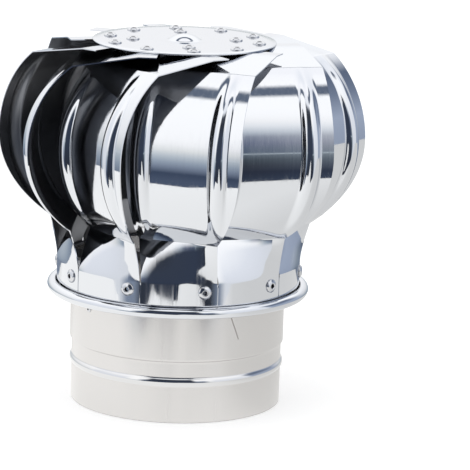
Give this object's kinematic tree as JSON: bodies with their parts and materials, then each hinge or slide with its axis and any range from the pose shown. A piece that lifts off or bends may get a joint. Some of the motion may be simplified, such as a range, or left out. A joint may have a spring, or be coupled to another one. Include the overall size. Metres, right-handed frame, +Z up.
{
  "type": "turbine roof vent",
  "caption": "Wind-driven turbine roof vent: a globe of curved sheet vanes that spins on a plain round collar and draws air out of a duct.",
  "frame": {"origin": "centre of the collar's lower edge, on the axis that the rotor turns about", "axes": "+Z up along the rotor's axis, -Y towards the viewer of the picture"},
  "size_m": [0.178, 0.1696, 0.1806],
  "materials": {
    "polished_sheet": "mirror polished stainless sheet",
    "collar_sheet": "bright rolled stainless sheet",
    "rivet_steel": "bright blind rivets",
    "strap_steel": "mill finish strip",
    "turned_steel": "turned and zinc bright",
    "bearing_steel": "ground and polished",
    "cage_brass": "pressed brass",
    "bush_bronze": "sintered bronze"
  },
  "bodies": {
    "base": {"base_collar": "collar_sheet", "base_bridge": "strap_steel", "bridge_rivets": "rivet_steel", "shaft": "turned_steel", "shaft_washer": "turned_steel", "shaft_nut": "turned_steel", "bearing_inner_ring": "bearing_steel", "top_washer": "turned_steel", "top_nut": "turned_steel"},
    "ball_cage": {"bearing_balls": "bearing_steel", "bearing_cage": "cage_brass"},
    "rotor": {"top_plate": "polished_sheet", "bottom_ring": "polished_sheet", "rotor_crossbar": "strap_steel", "bush": "bush_bronze", "bush_clip": "turned_steel", "bearing_housing": "strap_steel", "bearing_outer_ring": "bearing_steel", "top_rivets": "rivet_steel", "housing_rivets": "rivet_steel", "bottom_rivets": "rivet_steel", "vane_01": "polished_sheet", "vane_02": "polished_sheet", "vane_03": "polished_sheet", "vane_04": "polished_sheet", "vane_05": "polished_sheet", "vane_06": "polished_sheet", "vane_07": "polished_sheet", "vane_08": "polished_sheet", "vane_09": "polished_sheet", "vane_10": "polished_sheet"}
  },
  "joints": [
    {"name": "rotor_spin", "type": "hinge", "parent": "base", "child": "rotor", "pos_m": [0, 0, 0.12], "axis": [0, 0, 1], "continuous": true},
    {"name": "cage_spin", "type": "hinge", "parent": "base", "child": "ball_cage", "pos_m": [0, 0, 0.16], "axis": [0, 0, 1], "continuous": true}
  ],
  "couplings": [
    {"joint": "cage_spin", "follows": "rotor_spin", "ratio": 0.6323}
  ]
}
